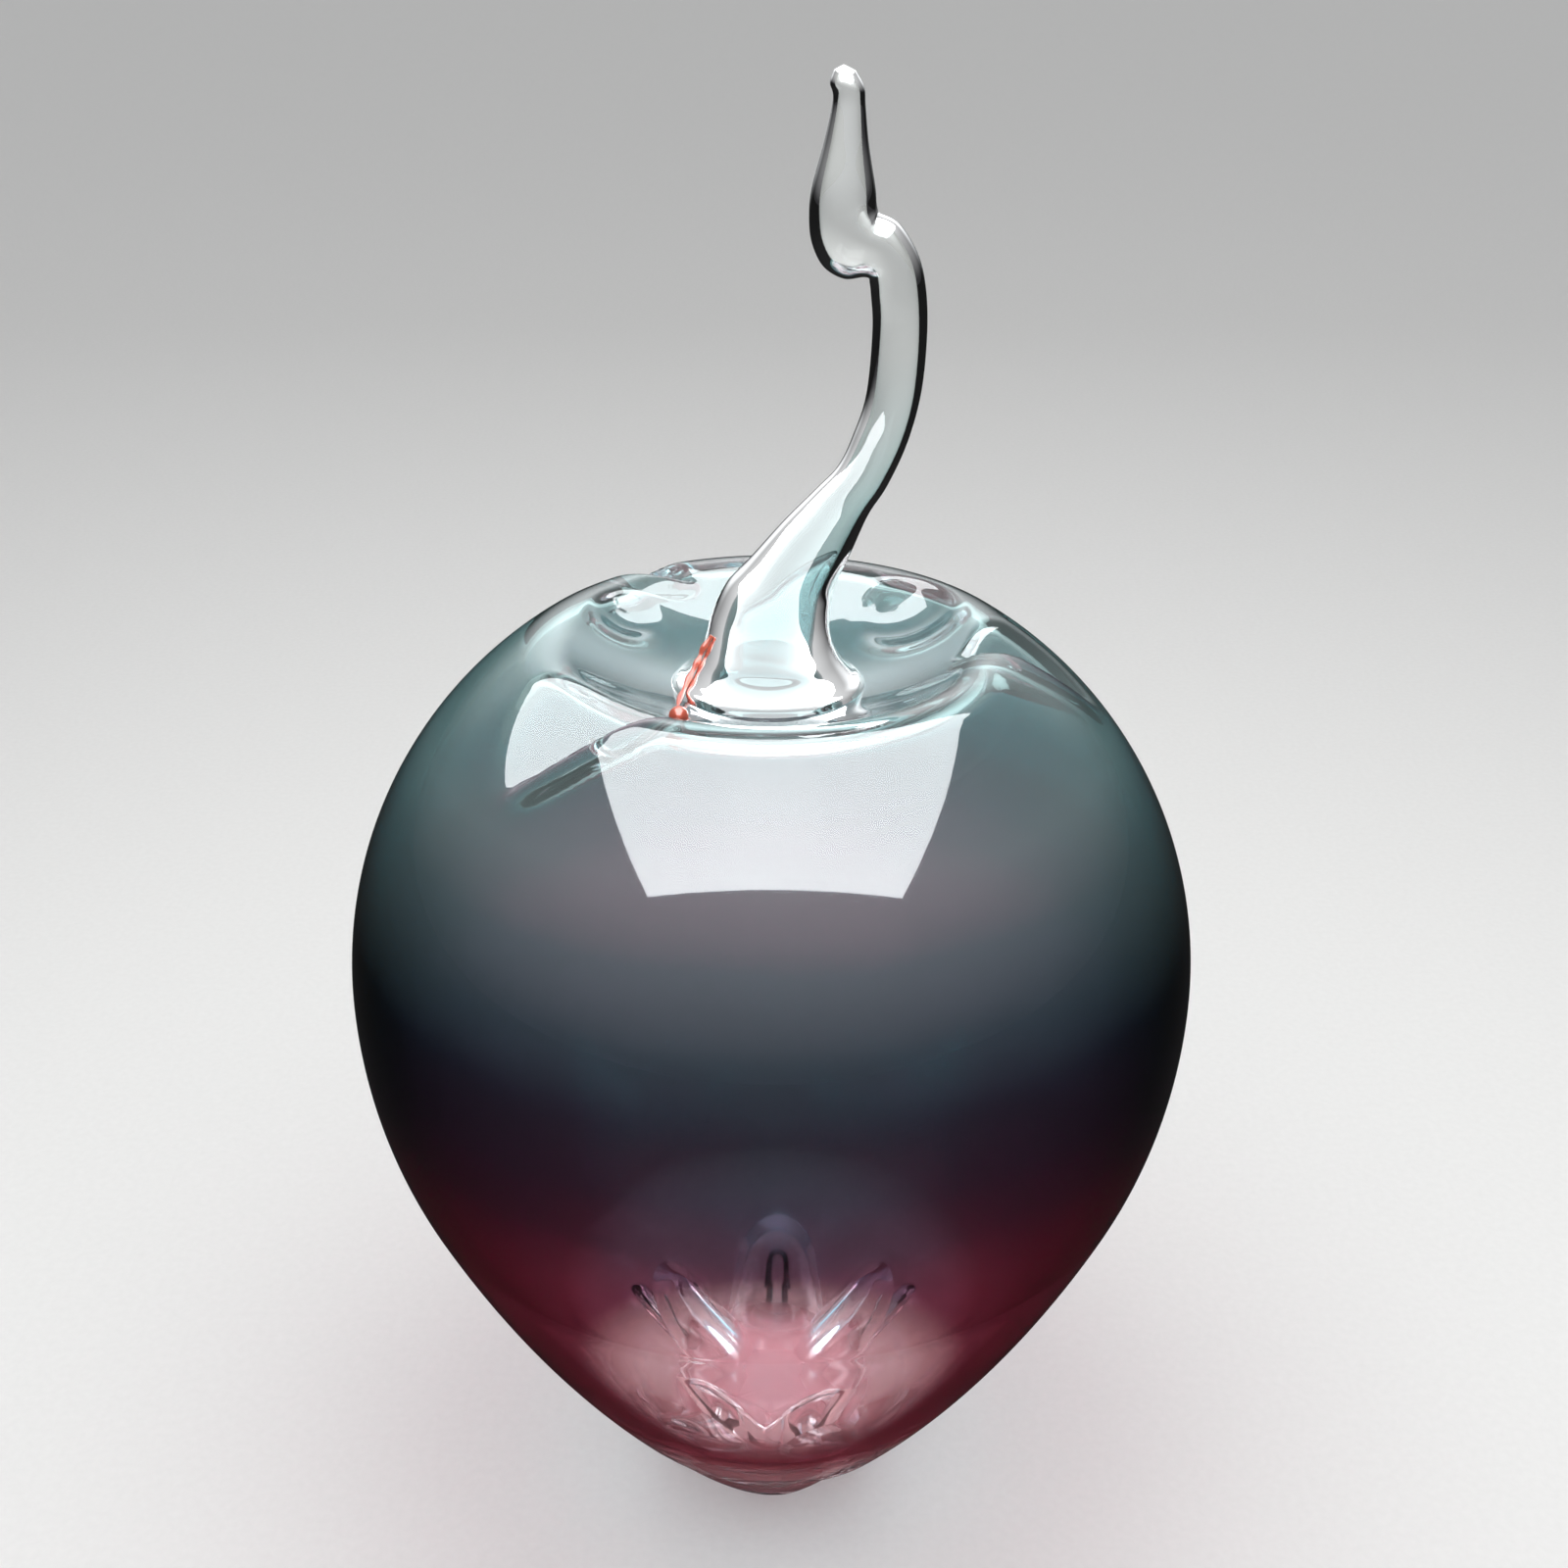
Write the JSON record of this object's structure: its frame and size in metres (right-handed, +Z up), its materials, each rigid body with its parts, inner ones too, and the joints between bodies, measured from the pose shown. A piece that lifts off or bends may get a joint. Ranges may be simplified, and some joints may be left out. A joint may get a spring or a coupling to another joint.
{
  "type": "art glass apple",
  "caption": "Hollow blown glass apple ornament with a teal-to-plum body, pressed rim and blossom creases, and a curled clear glass stem sealing its neck.",
  "frame": {"origin": "on the table, under the middle of the foot", "axes": "+Z up through the stem's neck, -Y towards the viewer of the picture, +X to that viewer's right, where the stem leans"},
  "size_m": [0.115, 0.115, 0.207],
  "materials": {
    "clear_glass": "gloss",
    "teal_glass": "gloss",
    "plum_glass": "gloss",
    "stem_glass": "gloss",
    "red_glass": "gloss"
  },
  "bodies": {
    "root": {"clear_bubble": "clear_glass", "teal_overlay": "teal_glass", "plum_overlay": "plum_glass", "stem": "stem_glass", "red_trail": "red_glass"}
  },
  "joints": []
}
